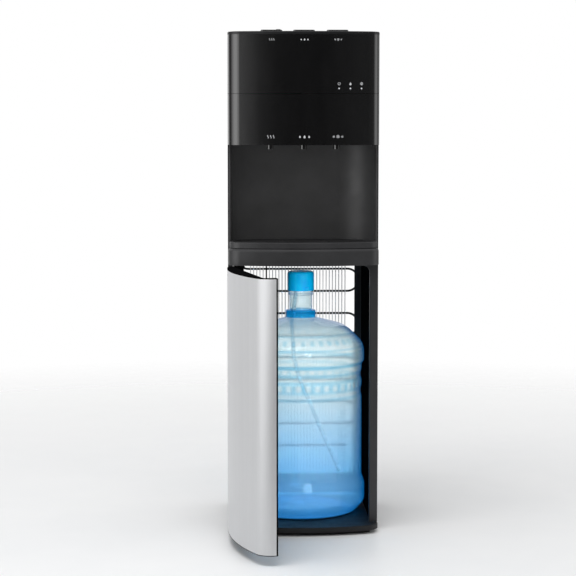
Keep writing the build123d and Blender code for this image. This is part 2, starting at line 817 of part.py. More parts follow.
def make_drain_spout():
    """Threaded drain spout through the upper back cover."""
    with BuildPart() as spout:
        with Locations((DRAIN_X, BACK_Y - 18, DRAIN_Z)):
            Cylinder(7, 34, rotation=(-90, 0, 0), align=LOW)
        with Locations((DRAIN_X, BACK_Y - 3, DRAIN_Z)):
            Cylinder(14, 3, rotation=(-90, 0, 0), align=LOW)
        with Locations((DRAIN_X, BACK_Y - 20, DRAIN_Z)):
            Cylinder(4.5, 40, rotation=(-90, 0, 0), align=LOW, mode=Mode.SUBTRACT)
    return spout


def make_drain_cap():
    """Screw cap on the drain spout."""
    with BuildPart() as cap:
        with Locations((DRAIN_X, BACK_Y + 4, DRAIN_Z)):
            Cylinder(10.5, 15, rotation=(-90, 0, 0), align=LOW)
        with Locations((DRAIN_X, BACK_Y + 4, DRAIN_Z)):
            Cylinder(7.4, 12.4, rotation=(-90, 0, 0), align=LOW, mode=Mode.SUBTRACT)
        fillet(cap.faces().sort_by(Axis.Y)[-1].edges(), 1.5)
        with Locations((DRAIN_X, BACK_Y + 20, DRAIN_Z)):
            Box(3, 4, 14)
    return cap


# ---------------------------------------------------------------- bottle
def bottle_profile():
    """Right half of the bottle's outside, from the middle of the base to the rim of the neck."""
    outline = [
        (0, BOTTLE_BASE + 12),
        (82, BOTTLE_BASE + 12),
        (97, BOTTLE_BASE),
        (117, BOTTLE_BASE),
        (137, 42),
        (137, 80),
        (130.5, 98),
        (130.5, 268),
        (127.5, 275),
        (127.5, 284),
        (130.5, 291),
        (130.5, 303),
        (127.5, 310),
        (127.5, 318),
        (130.5, 325),
        (130.5, 336),
        (135.5, 344),
        (135.5, 379),
        (96, 418),
        (32, 435),
        (32, 450),
        (24.5, 452),
        (24.5, NECK_TOP),
    ]
    rounds = [10, 8, 14, 22, 24, 12, 6, 4, 4, 5, 5, 4, 4, 4, 4, 6, 40, 60, 3, 2, 1.2]
    with BuildSketch(Plane.XZ.offset(-BOTTLE_Y)) as half:
        with BuildLine():
            FilletPolyline(*outline, radius=rounds)
            Line((24.5, NECK_TOP), (0, NECK_TOP))
            Line((0, NECK_TOP), (0, BOTTLE_BASE + 12))
        make_face()
    return half


def make_bottle():
    """Blown 18.9 litre bottle, hollow, with a ringed body and an open neck."""
    wall = 1.4
    outside = bottle_profile().sketch
    with BuildPart() as bottle:
        add(outside)
        revolve(axis=Axis((0, BOTTLE_Y, 0), (0, 0, 1)), revolution_arc=360)
        rim = bottle.faces().filter_by(GeomType.PLANE).sort_by(Axis.Z)[-1]
        offset(amount=-wall, openings=rim)
    return bottle


CAP_BOTTOM = 492.5
CAP_HEIGHT = 41.0


def make_bottle_cap():
    """Snap cap with a small recess in its top and a tear tab on its skirt."""
    with BuildPart() as cap:
        with Locations((0, BOTTLE_Y, CAP_BOTTOM)):
            Cylinder(28.5, CAP_HEIGHT, align=LOW)
        fillet(cap.faces().sort_by(Axis.Z)[-1].edges(), 6.5)
        with Locations((0, BOTTLE_Y, CAP_BOTTOM)):
            Cylinder(25, NECK_TOP + 0.4 - CAP_BOTTOM, align=LOW, mode=Mode.SUBTRACT)
        with Locations((0, BOTTLE_Y, CAP_BOTTOM + CAP_HEIGHT - 2.4)):
            Cylinder(6.5, 6, align=LOW, mode=Mode.SUBTRACT)
        with Locations((12, BOTTLE_Y - 28, CAP_BOTTOM + 2)):
            Box(9, 3, 6, align=LOW)
    return cap


def make_dip_tube():
    """Draw tube that hangs from the cap and leans to the bottle's lower right."""
    points = [(-6, 520), (-19, 420), (-15, 350), (-2, 300), (17, 256), (47, 184), (84, 101)]
    route = [(x, BOTTLE_Y, z) for x, z in points]
    return pipe(route, [90, 120, 160, 200, 260], 4.5)


# ---------------------------------------------------------------- door
def make_door_skin():
    """Brushed stainless skin wrapped round the front and both rounded edges."""
    with BuildPart() as skin:
        with BuildSketch(Plane.XY.offset(DOOR_BOTTOM + 1.5)):
            add(front_band(DOOR_INSET, DOOR_INSET + SKIN, -124))
        extrude(amount=DOOR_TOP - DOOR_BOTTOM - 3)
    return skin


def make_door_core():
    """Black moulding behind the skin: edge walls, end caps and hinge bosses."""
    under = DOOR_INSET + SKIN
    with BuildPart() as core:
        with BuildSketch(Plane.XY.offset(DOOR_BOTTOM)):
            add(cabinet_plan(DOOR_INSET, -120.8))
        extrude(amount=DOOR_TOP - DOOR_BOTTOM)
        with BuildSketch(Plane.XY.offset(DOOR_BOTTOM + 1.5)):
            add(front_band(DOOR_INSET - 1, under, -124))
        extrude(amount=DOOR_TOP - DOOR_BOTTOM - 3, mode=Mode.SUBTRACT)
        with BuildSketch(Plane.XY.offset(DOOR_BOTTOM + 5)):
            add(cabinet_plan(under + 2.5, -100))
        extrude(amount=DOOR_TOP - DOOR_BOTTOM - 10, mode=Mode.SUBTRACT)
        with Locations((0, -120, DOOR_BOTTOM + 250)):
            Box(276, 52, 1200, mode=Mode.SUBTRACT)
        with Locations((-154, -119, DOOR_BOTTOM + 250)):
            Box(6, 8, 1200, mode=Mode.SUBTRACT)
        with Locations((HINGE_X, HINGE_Y, DOOR_BOTTOM)):
            Cylinder(PIN_R + 0.05, DOOR_TOP - DOOR_BOTTOM, align=LOW, mode=Mode.SUBTRACT)
    return core


def make_door_panel():
    """Inner panel of the door with a raised field."""
    with BuildPart() as panel:
        with Locations((0, -148, DOOR_BOTTOM + 5)):
            Box(274, 3, DOOR_TOP - DOOR_BOTTOM - 10, align=LOW)
        with Locations((0, -146, 60)):
            Box(220, 3, 430, align=LOW)
    return panel


def make_hinge_pins():
    """Upper and lower hinge pins, fixed in the base and in the fascia."""
    with BuildPart() as pins:
        with Locations((HINGE_X, HINGE_Y, BASE_BOTTOM), (HINGE_X, HINGE_Y, DOOR_TOP - 12)):
            Cylinder(PIN_R, 24, align=LOW)
    return pins


# ---------------------------------------------------------------- build and write
FIXED = {
    "base_tray": make_base_tray,
    "door_frame": make_door_frame,
    "mid_deck": make_mid_deck,
    "rear_frame": make_rear_frame,
    "rear_upper_cover": make_rear_cover,
    "rear_screws": make_rear_screws,
    "front_fascia": make_fascia,
    "alcove_liner": make_alcove,
    "nozzle_plate": make_nozzle_plate,
    "lower_front_cover": make_lower_front_cover,
    "control_panel": make_control_panel,
    "indicator_lights": make_indicator_lights,
    "top_cover": make_top_cover,
    "child_lock": make_child_lock,
    "switch_board": make_switch_board,
    "spouts": make_spouts,
    "tap_valves": make_valves,
    "drip_tray": make_drip_tray,
    "drip_grille": make_drip_grille,
    "cold_tank": make_cold_tank,
    "evaporator_coil": make_evaporator,
    "cold_tank_foam": make_cold_foam,
    "hot_tank": make_hot_tank,
    "hot_tank_jacket": make_hot_jacket,
    "band_heater": make_band_heater,
    "hot_tank_stand": make_tank_stand,
    "compressor": make_compressor,
    "compressor_mounts": make_compressor_mounts,
    "start_relay": make_start_relay,
    "condenser_tube": make_condenser_tube,
    "condenser_wires": make_condenser_wires,
    "condenser_brackets": make_condenser_brackets,
    "suction_riser": make_riser,
    "filter_drier": make_drier,
    "water_pump": make_pump,
    "control_board": make_control_board,
    "cord_gland": make_cord_gland,
    "power_switch_bodies": make_switch_bodies,
    "drain_spout": make_drain_spout,
    "drain_cap": make_drain_cap,
    "bottle": make_bottle,
    "bottle_cap": make_bottle_cap,
    "dip_tube": make_dip_tube,
    "hinge_pins": make_hinge_pins,
}

for label, make in FIXED.items():
    write_piece(make(), label)

for name, side in (("left", -1), ("right", 1)):
    write_piece(make_side_panel(side), f"{name}_side_panel")
    write_piece(make_side_liner(side), f"{name}_inner_liner")

for name, x in zip(("hot", "room", "cold"), BUTTON_X):
    write_piece(make_button(x, name == "hot"), f"{name}_button")
    write_piece(make_spring(x), f"{name}_button_spring")

for name, x in zip(("hot", "cold"), ROCKER_X):
    write_piece(make_rocker(x), f"{name}_power_rocker")

for label, make in {
    "door_skin": make_door_skin,
    "door_core": make_door_core,
    "door_inner_panel": make_door_panel,
}.items():
    write_piece(swing_open(make()), label)
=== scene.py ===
"""Looks of the bottom-loading water dispenser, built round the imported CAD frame. Units are metres."""
import json
import math

import bmesh
import bpy
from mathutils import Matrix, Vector
from mathutils.bvhtree import BVHTree


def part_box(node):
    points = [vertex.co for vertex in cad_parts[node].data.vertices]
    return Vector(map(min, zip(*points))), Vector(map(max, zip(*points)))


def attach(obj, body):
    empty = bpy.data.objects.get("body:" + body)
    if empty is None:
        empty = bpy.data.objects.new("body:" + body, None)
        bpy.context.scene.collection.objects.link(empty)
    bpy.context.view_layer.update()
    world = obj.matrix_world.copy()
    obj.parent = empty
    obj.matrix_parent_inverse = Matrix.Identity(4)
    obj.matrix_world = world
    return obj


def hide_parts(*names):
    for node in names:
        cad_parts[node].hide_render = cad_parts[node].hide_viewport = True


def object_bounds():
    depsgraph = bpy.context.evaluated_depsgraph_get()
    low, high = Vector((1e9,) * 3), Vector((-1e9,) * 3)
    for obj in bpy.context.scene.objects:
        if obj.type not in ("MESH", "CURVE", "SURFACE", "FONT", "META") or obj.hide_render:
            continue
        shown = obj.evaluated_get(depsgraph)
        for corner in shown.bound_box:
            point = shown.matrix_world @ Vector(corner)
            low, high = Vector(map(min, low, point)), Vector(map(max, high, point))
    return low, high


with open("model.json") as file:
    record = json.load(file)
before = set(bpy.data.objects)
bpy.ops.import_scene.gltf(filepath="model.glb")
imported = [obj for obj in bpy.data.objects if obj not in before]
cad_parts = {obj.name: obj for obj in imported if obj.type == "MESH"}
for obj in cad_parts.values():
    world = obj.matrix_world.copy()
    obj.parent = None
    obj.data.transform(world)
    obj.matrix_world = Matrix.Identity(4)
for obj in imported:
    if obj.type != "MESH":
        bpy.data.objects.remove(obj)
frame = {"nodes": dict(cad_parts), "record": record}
cad_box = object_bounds()

MM = 0.001
scene = bpy.context.scene
record = frame["record"]
nodes = frame["nodes"]


# ---------------------------------------------------------------- shader building blocks
class Surface:
    """A Principled material with short calls for the textures that drive it."""

    def __init__(self, name):
        self.material = bpy.data.materials.new(name)
        self.material.use_nodes = True
        self.tree = self.material.node_tree
        self.shader = self.tree.nodes["Principled BSDF"]
        self.place = self.tree.nodes.new("ShaderNodeTexCoord").outputs["Object"]

    def node(self, kind, **settings):
        made = self.tree.nodes.new(kind)
        for key, value in settings.items():
            setattr(made, key, value)
        return made

    def link(self, source, target):
        self.tree.links.new(source, target)

    def set(self, **values):
        """Constant shader inputs, given with underscores for spaces."""
        for key, value in values.items():
            self.shader.inputs[key.replace("_", " ")].default_value = value

    def stretched(self, stretch):
        mapping = self.node("ShaderNodeMapping")
        mapping.inputs["Scale"].default_value = stretch
        self.link(self.place, mapping.inputs["Vector"])
        return mapping.outputs["Vector"]

    def noise(self, feature, detail=3.0, stretch=(1, 1, 1), roughness=0.55):
        """Noise whose blobs are about `feature` metres across."""
        texture = self.node("ShaderNodeTexNoise")
        texture.inputs["Scale"].default_value = 1 / feature
        texture.inputs["Detail"].default_value = detail
        texture.inputs["Roughness"].default_value = roughness
        self.link(self.stretched(stretch), texture.inputs["Vector"])
        return texture.outputs["Fac"]

    def spread(self, value, low, high, start=0.3, stop=0.7):
        """Map a texture value from start..stop to low..high."""
        mapped = self.node("ShaderNodeMapRange")
        mapped.inputs["From Min"].default_value = start
        mapped.inputs["From Max"].default_value = stop
        mapped.inputs["To Min"].default_value = low
        mapped.inputs["To Max"].default_value = high
        self.link(value, mapped.inputs["Value"])
        return mapped.outputs["Result"]

    def blend(self, factor, low, high):
        """Mix two colours, either of which may be a socket."""
        mix = self.node("ShaderNodeMix", data_type="RGBA")
        self.link(factor, mix.inputs["Factor"])
        for colour, socket in ((low, mix.inputs["A"]), (high, mix.inputs["B"])):
            if isinstance(colour, bpy.types.NodeSocket):
                self.link(colour, socket)
            else:
                socket.default_value = (*colour, 1)
        return mix.outputs["Result"]

    def height(self):
        split = self.node("ShaderNodeSeparateXYZ")
        self.link(self.place, split.inputs["Vector"])
        return split.outputs["Z"]

    def bump(self, value, depth, below=None):
        relief = self.node("ShaderNodeBump")
        relief.inputs["Distance"].default_value = depth
        self.link(value, relief.inputs["Height"])
        if below is not None:
            self.link(below, relief.inputs["Normal"])
        return relief.outputs["Normal"]

    def colour(self, socket):
        self.link(socket, self.shader.inputs["Base Color"])

    def gloss(self, socket):
        self.link(socket, self.shader.inputs["Roughness"])

    def relief(self, socket):
        self.link(socket, self.shader.inputs["Normal"])


def shade(grey, lift):
    return tuple(c * lift for c in grey)


def moulded(name, colour, rough, grain, depth, vary=0.12, cloud=60 * MM, **constants):
    """Moulded, painted or sprayed surface: cloudy colour, patchy gloss and an all-over fine grain."""
    made = Surface(name)
    made.set(**constants)
    cloud_value = made.spread(made.noise(cloud, 4), 0, 1)
    made.colour(made.blend(cloud_value, shade(colour, 1 - vary), shade(colour, 1 + vary)))
    made.gloss(made.spread(made.noise(cloud * 0.6, 5), rough[0], rough[1]))
    made.relief(made.bump(made.noise(grain, 2), depth))
    return made.material


def gloss_front(name):
    """Polished black front: deep black with a slight orange peel and faint wipe marks."""
    made = Surface(name)
    made.set(IOR=1.5, Coat_Weight=1.0, Coat_Roughness=0.07, Coat_IOR=1.6)
    wipe = made.noise(18 * MM, 4, stretch=(1, 1, 0.25))
    made.colour(made.blend(made.spread(wipe, 0, 1), (0.003, 0.003, 0.0033), (0.0044, 0.0044, 0.0047)))
    made.gloss(made.spread(wipe, 0.16, 0.22))
    peel = made.bump(made.noise(5 * MM, 1), 0.00002)
    made.relief(made.bump(made.noise(0.5 * MM, 2), 0.000008, peel))
    return made.material


def brushed(name, colour, rough, along, anisotropy=0.6):
    """Brushed metal: hairlines drawn out along one direction, with soft bands across it."""
    made = Surface(name)
    made.set(Metallic=1.0, Anisotropic=anisotropy)
    hair = made.noise(0.45 * MM, 3, stretch=along, roughness=0.7)
    band = made.noise(9 * MM, 3, stretch=along)
    lines = made.blend(made.spread(hair, 0, 1), shade(colour, 0.93), shade(colour, 1.04))
    made.colour(made.blend(made.spread(band, 0, 0.35), lines, shade(colour, 0.9)))
    made.gloss(made.spread(hair, rough[0], rough[1]))
    made.relief(made.bump(hair, 0.00002))
    return made.material


def blown_bottle(name, collar_low, collar_top):
    """Tinted polycarbonate, pale where seen square on. The deep blue at the edges is painted shade, the
    deeper blue towards the base is painted reflection, and a blue emission adds a painted glow.
    """
    made = Surface(name)
    made.set(Transmission_Weight=0.86, IOR=1.09, Roughness=0.2, Coat_Weight=0.6, Coat_Roughness=0.05)
    # Painted shade: this facing mask deepens the bottle to dark blue at its grazing edges, in colour and in
    # glow.
    facing = made.node("ShaderNodeLayerWeight")
    facing.inputs["Blend"].default_value = 0.3
    edge = made.spread(facing.outputs["Facing"], 0, 1, 0.42, 0.98)
    height = made.height()
    # Painted reflection: a height mask that makes the lower bottle bluer, standing in for the water and the
    # blue floor seen in it.
    painted_low_mask = made.spread(height, 1, 0, 0.03, 0.29)
    collar = made.spread(height, 1, 0, collar_top, collar_top + 3 * MM)
    collar_start = made.spread(height, 0, 1, collar_low, collar_low + 2 * MM)
    thick = made.node("ShaderNodeMath", operation="MULTIPLY")
    made.link(collar, thick.inputs[0])
    made.link(collar_start, thick.inputs[1])
    flow = made.spread(made.noise(26 * MM, 3, stretch=(1, 1, 2.2)), 0, 1)
    pale = made.blend(flow, (0.88, 0.985, 1.0), (0.94, 0.995, 1.0))
    body = made.blend(painted_low_mask, pale, (0.30, 0.68, 0.97))
    moulding = made.blend(thick.outputs[0], body, (0.03, 0.55, 0.92))
    relief = made.node("ShaderNodeAttribute", attribute_name="relief")
    marked = made.blend(relief.outputs["Fac"], moulding, (0.50, 0.84, 0.98))
    # Painted shade: dark blue laid over the grazing edges of the tint, ribs and collar.
    made.colour(made.blend(edge, marked, (0.01, 0.17, 0.58)))
    # Painted glow: blue emission that lights up the bottle, stronger towards the base and strongest at the
    # grazing edges.
    painted_glow = made.blend(painted_low_mask, (0.0, 0.008, 0.012), (0.0, 0.035, 0.075))
    made.link(made.blend(edge, painted_glow, (0.0, 0.085, 0.26)), made.shader.inputs["Emission Color"])
    made.set(Emission_Strength=1.0)
    ripple = made.bump(made.noise(14 * MM, 2), 0.0005)
    made.relief(made.bump(made.noise(1.6 * MM, 2), 0.00003, ripple))
    return made.material


def blue_cap(name):
    """Soft azure snap cap with a faint flow pattern."""
    made = Surface(name)
    made.set(Subsurface_Weight=0.15, Subsurface_Scale=0.004, Coat_Weight=0.25, Coat_Roughness=0.2)
    flow = made.spread(made.noise(11 * MM, 4, stretch=(1, 1, 0.5)), 0, 1)
    made.colour(made.blend(flow, (0.0, 0.44, 0.95), (0.0, 0.56, 1.0)))
    made.gloss(made.spread(made.noise(4 * MM, 3), 0.28, 0.42))
    made.relief(made.bump(made.noise(0.7 * MM, 2), 0.00003))
    return made.material


def draw_tube(name):
    """Clear blue-white draw tube."""
    made = Surface(name)
    made.set(Transmission_Weight=0.55, IOR=1.1)
    flow = made.spread(made.noise(20 * MM, 3, stretch=(1, 1, 0.3)), 0, 1)
    made.colour(made.blend(flow, (0.55, 0.82, 0.95), (0.75, 0.93, 1.0)))
    made.gloss(made.spread(made.noise(3 * MM, 3), 0.18, 0.34))
    made.relief(made.bump(made.noise(1.5 * MM, 2), 0.00004))
    return made.material


def indicator(name, split_height):
    """Smoked lenses for the icons over small lit status dots."""
    made = Surface(name)
    made.set(Coat_Weight=0.6, Coat_Roughness=0.1)
    lit = made.spread(made.height(), 1, 0, split_height - 0.5 * MM, split_height + 0.5 * MM)
    dust = made.spread(made.noise(1.2 * MM, 3), 0, 1)
    smoked = made.blend(dust, (0.006, 0.006, 0.007), (0.011, 0.011, 0.012))
    glowing = made.blend(dust, (0.62, 0.64, 0.68), (0.8, 0.82, 0.86))
    made.colour(made.blend(lit, smoked, glowing))
    made.gloss(made.spread(dust, 0.22, 0.3, 0, 1))
    made.relief(made.bump(made.noise(0.6 * MM, 2), 0.00001))
    return made.material


def circuit(name):
    """Green solder mask with copper tracks that show through as lighter lines."""
    made = Surface(name)
    track = made.node("ShaderNodeTexBrick")
    track.inputs["Scale"].default_value = 160
    track.inputs["Mortar Size"].default_value = 0.04
    track.inputs["Color1"].default_value = (0.01, 0.11, 0.05, 1)
    track.inputs["Color2"].default_value = (0.015, 0.15, 0.07, 1)
    track.inputs["Mortar"].default_value = (0.06, 0.28, 0.13, 1)
    made.link(made.place, track.inputs["Vector"])
    made.colour(track.outputs["Color"])
    made.gloss(made.spread(made.noise(6 * MM, 3), 0.25, 0.45))
    made.relief(made.bump(track.outputs["Fac"], -0.00004))
    return made.material


light_low, light_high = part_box("indicator_lights")
COLLAR_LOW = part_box("bottle")[1].z - 94 * MM
COLLAR_TOP = COLLAR_LOW + 16 * MM
dots_end = light_low.z + 4.4 * MM
ALONG_DOOR = (1, 1, 0.02)
ALONG_TANK = (0.05, 0.05, 1)

materials = {
    "black_plastic": moulded("black_plastic", (0.036, 0.036, 0.038), (0.36, 0.5), 0.55 * MM, 0.00004),
    "gloss_black": gloss_front("gloss_black"),
    "grille_black": moulded("grille_black", (0.02, 0.02, 0.021), (0.5, 0.66), 0.7 * MM, 0.00006),
    "painted_sheet": moulded("painted_sheet", (0.03, 0.03, 0.032), (0.34, 0.46), 1.4 * MM, 0.00007,
                             cloud=140 * MM, Coat_Weight=0.15),
    "inner_black": moulded("inner_black", (0.004, 0.004, 0.0045), (0.6, 0.75), 0.8 * MM, 0.00005, vary=0.25,
                           Specular_IOR_Level=0.0),
    "brushed_steel": brushed("brushed_steel", (0.64, 0.645, 0.655), (0.44, 0.56), ALONG_DOOR, 0.8),
    "stainless": brushed("stainless", (0.56, 0.555, 0.54), (0.22, 0.34), ALONG_TANK, 0.4),
    "galvanised": moulded("galvanised", (0.46, 0.47, 0.48), (0.34, 0.55), 1.1 * MM, 0.00003,
                          vary=0.2, cloud=12 * MM, Metallic=0.9),
    "black_steel": moulded("black_steel", (0.012, 0.012, 0.013), (0.24, 0.36), 1.8 * MM, 0.00006,
                           cloud=30 * MM, Coat_Weight=0.4),
    "pale_wire": moulded("pale_wire", (0.78, 0.79, 0.80), (0.35, 0.5), 0.5 * MM, 0.00003, cloud=40 * MM),
    "spring_steel": moulded("spring_steel", (0.52, 0.52, 0.51), (0.16, 0.3), 0.3 * MM, 0.00001,
                            cloud=5 * MM, Metallic=1.0),
    "blue_bottle": blown_bottle("blue_bottle", COLLAR_LOW, COLLAR_TOP),
    "blue_cap": blue_cap("blue_cap"),
    "clear_tube": draw_tube("clear_tube"),
    "foam": moulded("foam", (0.72, 0.70, 0.62), (0.8, 0.95), 1.6 * MM, 0.0004, cloud=25 * MM),
    "copper": moulded("copper", (0.62, 0.27, 0.15), (0.24, 0.42), 0.6 * MM, 0.00002,
                      vary=0.18, cloud=14 * MM, Metallic=1.0),
    "rubber_black": moulded("rubber_black", (0.018, 0.018, 0.018), (0.62, 0.8), 0.6 * MM, 0.00006),
    "white_plastic": moulded("white_plastic", (0.66, 0.66, 0.63), (0.32, 0.46), 0.6 * MM, 0.00003, vary=0.05),
    "red_plastic": moulded("red_plastic", (0.48, 0.012, 0.01), (0.2, 0.32), 0.6 * MM, 0.00002,
                           Coat_Weight=0.4),
    "circuit_board": circuit("circuit_board"),
    "light_lens": indicator("light_lens", dots_end),
}
ink = moulded("pale_ink", (0.62, 0.63, 0.65), (0.4, 0.55), 0.3 * MM, 0.00001, vary=0.08, cloud=3 * MM)

special = {
    "top_cover": moulded("top_plastic", (0.010, 0.010, 0.011), (0.3, 0.42), 0.5 * MM, 0.00003),
    # Painted shade: a darker copy of the black plastic for the base tray on the floor of the bottle bay.
    "base_tray": moulded("tray_plastic_painted_shade", (0.006, 0.006, 0.007), (0.5, 0.65), 0.6 * MM, 0.00005),
    # Painted light: a lighter copy of the black plastic for the alcove, standing in for the light falling
    # into it.
    "alcove_liner": moulded("alcove_plastic_painted_light", (0.062, 0.062, 0.063), (0.4, 0.55), 0.55 * MM, 0.00004),
}

for part in record["subparts"]:
    shown = nodes[part["node"]].data
    shown.materials.clear()
    shown.materials.append(special.get(part["node"], materials[part["material_slot"]]))


# ---------------------------------------------------------------- mesh helpers
def new_piece(name, mesh_data, material, body):
    """Turn a bmesh into a piece that rides on a body."""
    mesh = bpy.data.meshes.new(name)
    bmesh.ops.recalc_face_normals(mesh_data, faces=mesh_data.faces)
    mesh_data.to_mesh(mesh)
    mesh_data.free()
    piece = bpy.data.objects.new(name, mesh)
    scene.collection.objects.link(piece)
    mesh.materials.append(material)
    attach(piece, body)
    return piece


def rounded_path(points, radii, step):
    """A polyline with each inner corner replaced by an arc of the given radius."""
    path = [Vector(points[0])]
    for before, corner, after, radius in zip(points, points[1:], points[2:], radii):
        into = (Vector(corner) - Vector(before)).normalized()
        out = (Vector(after) - Vector(corner)).normalized()
        turn = into.angle(out)
        if radius == 0 or turn < 0.01:
            path.append(Vector(corner))
            continue
        reach = radius * math.tan(turn / 2)
        start = Vector(corner) - into * reach
        side = (out - into * out.dot(into)).normalized()
        steps = max(2, math.ceil(radius * turn / step))
        for i in range(steps + 1):
            angle = turn * i / steps
            path.append(start + into * radius * math.sin(angle) + side * radius * (1 - math.cos(angle)))
    path.append(Vector(points[-1]))
    return path


def evenly(path, step):
    """The same path with extra points, so that no run is longer than step."""
    fine = [path[0]]
    for start, end in zip(path, path[1:]):
        count = max(1, math.ceil((end - start).length / step))
        fine += [start.lerp(end, i / count) for i in range(1, count + 1)]
    return fine


# ---------------------------------------------------------------- bottle
bottle_low, bottle_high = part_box("bottle")
BOTTLE_CENTRE = (bottle_low + bottle_high) / 2
BASE_Z = bottle_low.z / MM
NECK_Z = bottle_high.z / MM
NECK_R = 24.4
PUNT = 12.0
WALL = 1.4
RIBS = 40
SEGMENTS = RIBS * 6
RAISED_LINES = (366, 376, 404)
SHOULDER_START = 350
BANDS = (                      # lowest and highest height of each ribbed band, and its relief
    (102, 128, 1.1),
    (286, 306, 1.0),
    (384, 398, 0.7),
)


def bottle_outline():
    """Outside of the bottle from the middle of the punt to the neck's rim, as radius and height."""
    shoulder = [(135.4, 379), (96, 417.8), (31.8, 434.8), (31.8, 450), (NECK_R, 452)]
    finish = [(NECK_R, 482), (26.4, 483.5), (26.4, 487), (NECK_R, 488.5), (NECK_R, NECK_Z)]
    rings = [
        (130.3, 98), (130.3, 268), (127.4, 275), (127.4, 283), (130.3, 290), (130.3, 303),
        (127.4, 310), (127.4, 318), (130.3, 325), (130.3, 336), (135.4, 344),
    ]
    base = [
        (0, BASE_Z + PUNT + 6), (40, BASE_Z + PUNT + 4), (82, BASE_Z + PUNT - 2), (97, BASE_Z + 0.2),
        (117, BASE_Z + 0.2), (136.8, 42), (136.8, 80),
    ]
    radii = [60, 30, 8, 14, 22, 24, 12, 6, 4, 4, 5, 5, 4, 4, 4, 4, 6, 40, 60, 3, 2, 1, 1, 1, 1, 1]
    return evenly(rounded_path(base + rings + shoulder + finish, radii, 1.5), 3.2)


def smooth_step(value):
    value = min(1, max(0, value))
    return value * value * (3 - 2 * value)


def rib_relief(height, turn):
    """How far the wall stands out of the plain shape, in millimetres, at a height and an angle."""
    raised = 0.0
    for low, high, relief in BANDS:
        if low < height < high:
            fade = smooth_step((height - low) / 5) * smooth_step((high - height) / 5)
            wave = 0.5 + 0.5 * math.cos(turn * RIBS)
            raised -= relief * fade * wave ** 2
    return raised


def ring_relief(below, point):
    """How strongly a ring step or a raised line shows at this height, from 0 to 1."""
    strength = sum(0.6 * math.exp(-((point.y - line) / 1.8) ** 2) for line in RAISED_LINES)
    if BANDS[0][1] < point.y < SHOULDER_START:
        strength += min(1, 1.5 * abs(point.x - below.x) / max(0.1, point.y - below.y))
    return min(1, strength)


STAR_RADIUS = 92
STAR_DEPTH = 0.9 * MM
STAR_ARMS = 12


def star_relief(radius, turn):
    """Height of the ribs that run out from the middle of the base, fading at both ends."""
    fade = smooth_step(radius / 40) * smooth_step((STAR_RADIUS - radius) / 20)
    return STAR_DEPTH * math.cos(turn * STAR_ARMS) * fade


def bottle_shell():
    """Blown bottle with rings, three ribbed bands and a star of ribs under the base."""
    made = bmesh.new()
    rows = []
    outline = bottle_outline()
    relief = made.verts.layers.float.new("relief")
    centre = made.verts.new((BOTTLE_CENTRE.x, BOTTLE_CENTRE.y, outline[0].y * MM))
    for below, point in zip(outline, outline[1:]):
        ring = ring_relief(below, point)
        row = []
        for i in range(SEGMENTS):
            turn = 2 * math.pi * i / SEGMENTS
            radius = (point.x + rib_relief(point.y, turn)) * MM
            height = point.y * MM
            if point.x < STAR_RADIUS and point.y < BASE_Z + PUNT + 8:
                height += star_relief(point.x, turn)
            x = BOTTLE_CENTRE.x + radius * math.cos(turn)
            y = BOTTLE_CENTRE.y + radius * math.sin(turn)
            spot = made.verts.new((x, y, height))
            spot[relief] = min(1, ring + abs(rib_relief(point.y, turn)))
            row.append(spot)
        rows.append(row)
    for i in range(SEGMENTS):
        made.faces.new((centre, rows[0][i], rows[0][(i + 1) % SEGMENTS]))
    for low, high in zip(rows, rows[1:]):
        for i in range(SEGMENTS):
            j = (i + 1) % SEGMENTS
            made.faces.new((low[i], low[j], high[j], high[i]))
    for face in made.faces:
        face.smooth = True
    return made


bottle = new_piece("bottle_shell", bottle_shell(), materials["blue_bottle"], "cabinet")
thickness = bottle.modifiers.new("wall", "SOLIDIFY")
thickness.thickness = WALL * MM
thickness.offset = -1
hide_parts("bottle")


# ---------------------------------------------------------------- printed pictograms
class Print:
    """Flat marks on a vertical face, gathered into one mesh. Sizes are in millimetres."""

    def __init__(self, on_nodes, facing=-1, lift=0.12):
        self.made = bmesh.new()
        self.facing = facing
        self.lift = lift * MM
        self.trees = [
            BVHTree.FromPolygons([v.co for v in nodes[n].data.vertices],
                                 [p.vertices for p in nodes[n].data.polygons])
            for n in on_nodes
        ]

    def surface(self, x, z):
        """Depth of the nearest face in front of the object, or behind it."""
        start = Vector((x, self.facing, z))
        depths = [tree.ray_cast(start, Vector((0, -self.facing, 0)))[0] for tree in self.trees]
        return min((hit.y * -self.facing for hit in depths if hit), default=0) * -self.facing

    def plate(self, centre, outline):
        """One filled outline, slightly proud of the surface and sunk a little into it."""
        top, under = [], []
        for u, v in outline:
            x = centre[0] + u * MM
            z = centre[1] + v * MM
            y = self.surface(x, z)
            top.append(self.made.verts.new((x, y + self.facing * self.lift, z)))
            under.append(self.made.verts.new((x, y - self.facing * 2 * self.lift, z)))
        self.made.faces.new(top)
        self.made.faces.new(under)
        for i in range(len(top)):
            j = (i + 1) % len(top)
            self.made.faces.new((top[i], top[j], under[j], under[i]))

    def stroke(self, centre, points, width):
        """An open line of constant width."""
        left, right = [], []
        for i, point in enumerate(points):
            ahead = Vector(points[min(i + 1, len(points) - 1)])
            behind = Vector(points[max(i - 1, 0)])
            run = (ahead - behind).normalized()
            across = Vector((-run.y, run.x)) * width / 2
            left.append(tuple(Vector(point) + across))
            right.append(tuple(Vector(point) - across))
        for a, b, c, d in zip(left, left[1:], right[1:], right):
            self.plate(centre, (a, b, c, d))


def arc_points(radius, start, stop, count=14, centre=(0, 0)):
    """Points along an arc; angles in degrees, anticlockwise from the right."""
    turns = [math.radians(start + (stop - start) * i / count) for i in range(count + 1)]
    return [(centre[0] + radius * math.cos(t), centre[1] + radius * math.sin(t)) for t in turns]


